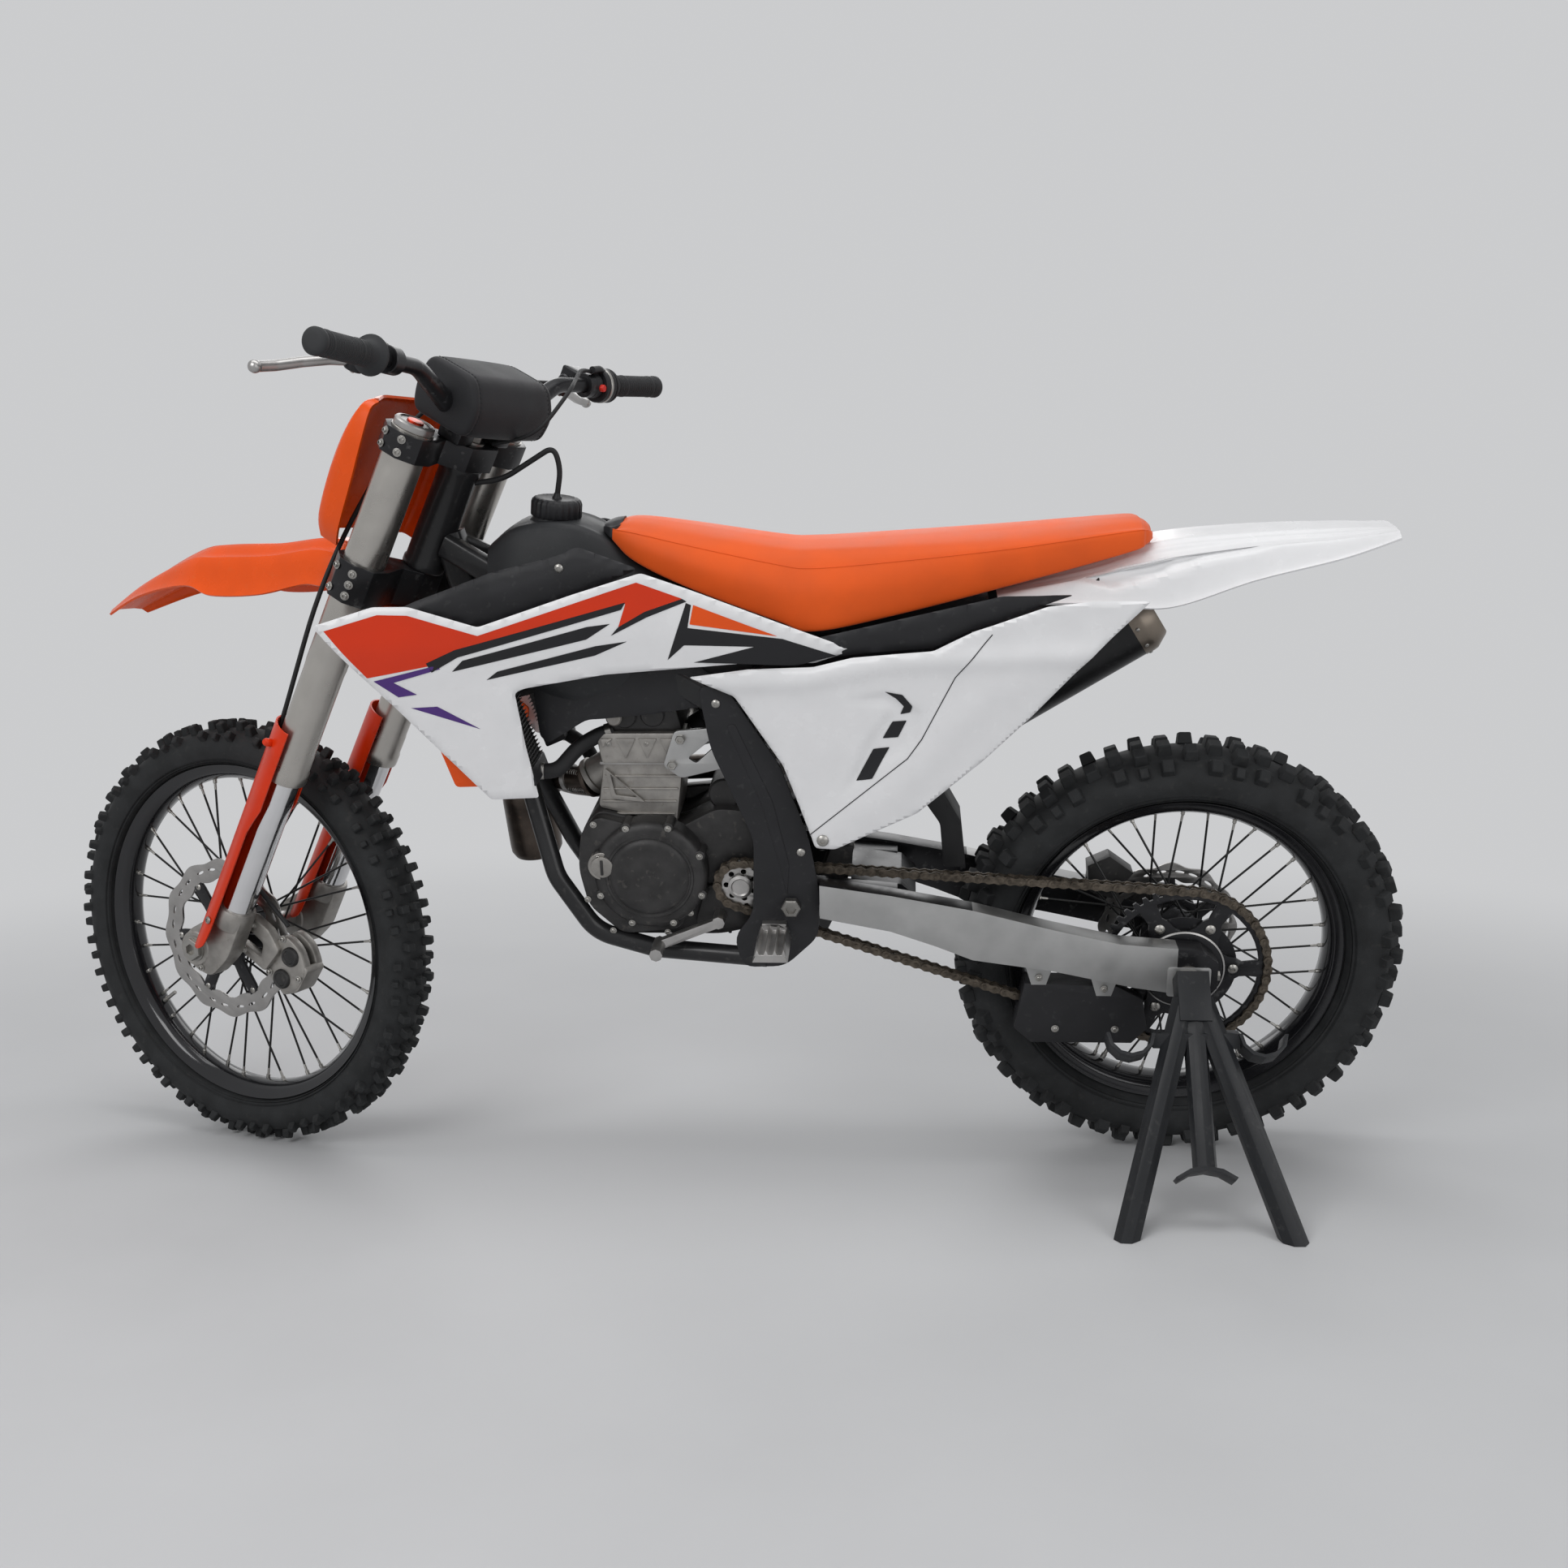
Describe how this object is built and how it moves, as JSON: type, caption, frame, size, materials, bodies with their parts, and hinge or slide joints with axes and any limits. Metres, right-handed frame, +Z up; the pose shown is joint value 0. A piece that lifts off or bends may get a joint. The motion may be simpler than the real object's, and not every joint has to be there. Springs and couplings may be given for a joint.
{
  "type": "motocross bike",
  "caption": "Motocross bike with knobbed tyres, spoked wheels and long-travel fork, leaning on a triangular stand plugged into its rear axle.",
  "frame": {"origin": "centre of the bounding box's underside, on the floor the tyres and the stand's feet rest on", "axes": "+X forwards along the bike, +Y to its left, the side it leans to, +Z up"},
  "size_m": [2.1526, 0.787, 1.2388],
  "materials": {
    "frame": "satin",
    "subframe": "satin",
    "engine": "cast",
    "cylinder_head": "cast",
    "head_hangers": "satin",
    "front_sprocket": "satin",
    "exhaust_pipe": "satin",
    "silencer": "brushed",
    "radiators": "matt",
    "fuel_tank": "matt",
    "shrouds": "glossy",
    "tank_covers": "matt",
    "seat": "matt",
    "side_panels": "glossy",
    "rear_fender": "glossy",
    "airbox": "matt",
    "mud_flap": "matt",
    "frame_guards": "matt",
    "swingarm": "satin",
    "chain": "satin",
    "chain_guide": "matt",
    "shock": "glossy",
    "linkage": "satin",
    "rear_caliper": "satin",
    "rear_axle": "satin",
    "foot_controls": "satin",
    "footpegs": "cast",
    "breather": "matt",
    "stand": "satin",
    "upper_clamp": "anodised",
    "lower_clamp": "anodised",
    "fork_tubes": "anodised",
    "fork_legs": "polished",
    "fork_guards": "satin",
    "front_fender": "glossy",
    "number_plate": "glossy",
    "handlebar": "anodised",
    "grips": "matt",
    "bar_pad": "matt",
    "clutch_control": "satin",
    "brake_control": "satin",
    "front_caliper": "anodised",
    "front_axle": "satin",
    "brake_hose": "matt",
    "throttle_cable": "matt",
    "front_tyre": "matt",
    "front_rim": "anodised",
    "front_hub": "anodised",
    "front_disc": "satin",
    "rear_tyre": "matt",
    "rear_rim": "anodised",
    "rear_hub": "anodised",
    "rear_disc": "satin",
    "rear_sprocket": "anodised"
  },
  "bodies": {
    "chassis": {"frame": "frame", "subframe": "subframe", "engine": "engine", "cylinder_head": "cylinder_head", "head_hangers": "head_hangers", "front_sprocket": "front_sprocket", "exhaust_pipe": "exhaust_pipe", "silencer": "silencer", "radiators": "radiators", "fuel_tank": "fuel_tank", "shrouds": "shrouds", "tank_covers": "tank_covers", "seat": "seat", "side_panels": "side_panels", "rear_fender": "rear_fender", "airbox": "airbox", "mud_flap": "mud_flap", "frame_guards": "frame_guards", "swingarm": "swingarm", "chain": "chain", "chain_guide": "chain_guide", "shock": "shock", "linkage": "linkage", "rear_caliper": "rear_caliper", "rear_axle": "rear_axle", "foot_controls": "foot_controls", "footpegs": "footpegs", "breather": "breather", "stand": "stand"},
    "steering": {"upper_clamp": "upper_clamp", "lower_clamp": "lower_clamp", "fork_tubes": "fork_tubes", "fork_legs": "fork_legs", "fork_guards": "fork_guards", "front_fender": "front_fender", "number_plate": "number_plate", "handlebar": "handlebar", "grips": "grips", "bar_pad": "bar_pad", "clutch_control": "clutch_control", "brake_control": "brake_control", "front_caliper": "front_caliper", "front_axle": "front_axle", "brake_hose": "brake_hose", "throttle_cable": "throttle_cable"},
    "front_wheel": {"front_tyre": "front_tyre", "front_rim": "front_rim", "front_hub": "front_hub", "front_disc": "front_disc"},
    "rear_wheel": {"rear_tyre": "rear_tyre", "rear_rim": "rear_rim", "rear_hub": "rear_hub", "rear_disc": "rear_disc", "rear_sprocket": "rear_sprocket"}
  },
  "joints": [
    {"name": "steering_turn", "type": "hinge", "parent": "chassis", "child": "steering", "pos_m": [0.35744, -0.04331, 1.00225], "axis": [-0.4378, 0.2069, 0.8749], "range_deg": [-17.4, 64.6]},
    {"name": "front_wheel_spin", "type": "hinge", "parent": "steering", "child": "front_wheel", "pos_m": [0.74591, -0.22169, 0.34732], "axis": [0.3602, 0.932, -0.0402], "continuous": true},
    {"name": "rear_wheel_spin", "type": "hinge", "parent": "chassis", "child": "rear_wheel", "pos_m": [-0.73479, -0.20026, 0.337], "axis": [0.0003, 0.9732, -0.23], "continuous": true}
  ]
}
